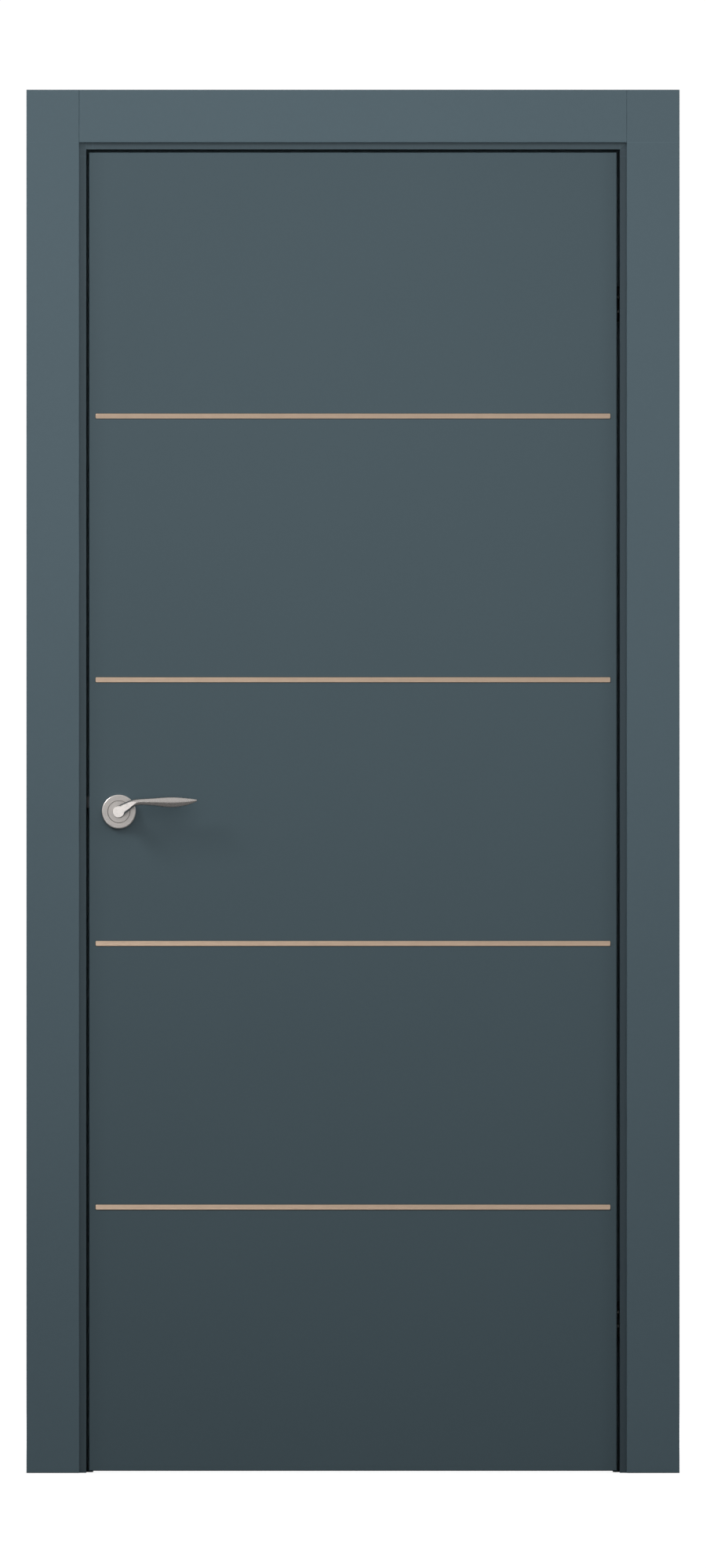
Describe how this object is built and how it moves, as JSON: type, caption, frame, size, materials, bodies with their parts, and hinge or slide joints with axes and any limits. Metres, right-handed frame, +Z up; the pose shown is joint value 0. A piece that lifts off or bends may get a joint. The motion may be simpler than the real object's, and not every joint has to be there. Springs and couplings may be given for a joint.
{
  "type": "interior door with its frame",
  "caption": "Flush interior door leaf in a block frame with casings, concealed hinges, latch and lever handles; the leaf swings, the levers draw the bolt.",
  "frame": {"origin": "on the finished floor, in the middle of the doorway, in the plane of the leaf's front face, which is the front surface of the wall", "axes": "+X across the doorway towards the hinges, +Y through the wall towards the back, +Z up; the front face looks towards -Y"},
  "size_m": [0.99, 0.1664, 2.098],
  "materials": {
    "leaf_paint": "blue-grey satin enamel on fibreboard",
    "frame_paint": "blue-grey satin enamel on fibreboard",
    "leaf_edge": "softwood, enamelled at the edges of the leaf",
    "core_board": "bare tubular particle board",
    "moulding_metal": "satin champagne anodised",
    "handle_nickel": "satin nickel plate",
    "satin_plate": "satin chromed zinc",
    "zinc_steel": "zinc plated steel",
    "screw_steel": "bright zinc plate",
    "seal_rubber": "dark grey rubber",
    "black_plastic": "matt moulded plastic"
  },
  "bodies": {
    "frame": {"hinge_jamb": "frame_paint", "lock_jamb": "frame_paint", "head_jamb": "frame_paint", "hinge_jamb_seal": "seal_rubber", "lock_jamb_seal": "seal_rubber", "head_jamb_seal": "seal_rubber", "front_casing_left": "frame_paint", "front_casing_right": "frame_paint", "front_casing_head": "frame_paint", "back_casing_left": "frame_paint", "back_casing_right": "frame_paint", "back_casing_head": "frame_paint", "strike_plate": "satin_plate", "strike_box": "black_plastic", "strike_screws": "screw_steel", "frame_corner_screws": "screw_steel", "upper_hinge_frame_cup": "satin_plate", "lower_hinge_frame_cup": "satin_plate", "hinge_frame_screws": "screw_steel", "hinge_frame_pins": "screw_steel"},
    "leaf": {"back_moulding_1": "moulding_metal", "back_moulding_2": "moulding_metal", "back_moulding_3": "moulding_metal", "back_moulding_4": "moulding_metal", "back_rose_base": "zinc_steel", "back_rose_cover": "handle_nickel", "bottom_rail": "leaf_edge", "front_moulding_1": "moulding_metal", "front_moulding_2": "moulding_metal", "front_moulding_3": "moulding_metal", "front_moulding_4": "moulding_metal", "front_rose_base": "zinc_steel", "front_rose_cover": "handle_nickel", "hinge_leaf_pins": "screw_steel", "hinge_leaf_screws": "screw_steel", "hinge_stile": "leaf_edge", "latch_case": "zinc_steel", "latch_faceplate": "satin_plate", "latch_screws": "screw_steel", "latch_spring": "zinc_steel", "leaf_back_skin": "leaf_paint", "leaf_front_skin": "leaf_paint", "leaf_infill": "core_board", "lock_stile": "leaf_edge", "lower_hinge_leaf_cup": "satin_plate", "rose_bolts": "screw_steel", "top_rail": "leaf_edge", "upper_hinge_leaf_cup": "satin_plate"},
    "handle": {"front_lever": "handle_nickel", "back_lever": "handle_nickel", "spindle": "screw_steel", "lever_grub_screws": "screw_steel", "latch_follower": "zinc_steel"},
    "latch_bolt": {"latch_bolt": "zinc_steel"},
    "upper_frame_arm": {"upper_hinge_frame_arm": "zinc_steel", "upper_hinge_cross_pin": "screw_steel"},
    "upper_leaf_arm": {"upper_hinge_leaf_arm": "zinc_steel"},
    "lower_frame_arm": {"lower_hinge_frame_arm": "zinc_steel", "lower_hinge_cross_pin": "screw_steel"},
    "lower_leaf_arm": {"lower_hinge_leaf_arm": "zinc_steel"}
  },
  "joints": [
    {"name": "leaf_swing", "type": "hinge", "parent": "frame", "child": "leaf", "pos_m": [0.40225, 0, 1.003], "axis": [0, 0, 1], "range_deg": [0, 100]},
    {"name": "handle_turn", "type": "hinge", "parent": "leaf", "child": "handle", "pos_m": [-0.355, 0.022, 1.003], "axis": [0, 1, 0], "range_deg": [0, 45], "stiffness_Nm_per_rad": 1.2, "springref_deg": -34.38},
    {"name": "latch_slide", "type": "slide", "parent": "leaf", "child": "latch_bolt", "axis": [1, 0, 0], "range_m": [0, 0.0112]},
    {"name": "upper_frame_arm_turn", "type": "hinge", "parent": "frame", "child": "upper_frame_arm", "pos_m": [0.40925, 0.016, 1.773], "axis": [0, 0, 1], "range_deg": [0, 100]},
    {"name": "upper_leaf_arm_turn", "type": "hinge", "parent": "leaf", "child": "upper_leaf_arm", "pos_m": [0.39525, 0.016, 1.773], "axis": [0, 0, 1], "range_deg": [-100, 0]},
    {"name": "lower_frame_arm_turn", "type": "hinge", "parent": "frame", "child": "lower_frame_arm", "pos_m": [0.40925, 0.016, 0.233], "axis": [0, 0, 1], "range_deg": [0, 100]},
    {"name": "lower_leaf_arm_turn", "type": "hinge", "parent": "leaf", "child": "lower_leaf_arm", "pos_m": [0.39525, 0.016, 0.233], "axis": [0, 0, 1], "range_deg": [-100, 0]}
  ],
  "couplings": [
    {"joint": "latch_slide", "follows": "handle_turn", "m_per_rad": 0.014},
    {"joint": "upper_frame_arm_turn", "follows": "leaf_swing", "ratio": 1},
    {"joint": "upper_leaf_arm_turn", "follows": "leaf_swing", "ratio": -1},
    {"joint": "lower_frame_arm_turn", "follows": "leaf_swing", "ratio": 1},
    {"joint": "lower_leaf_arm_turn", "follows": "leaf_swing", "ratio": -1}
  ]
}
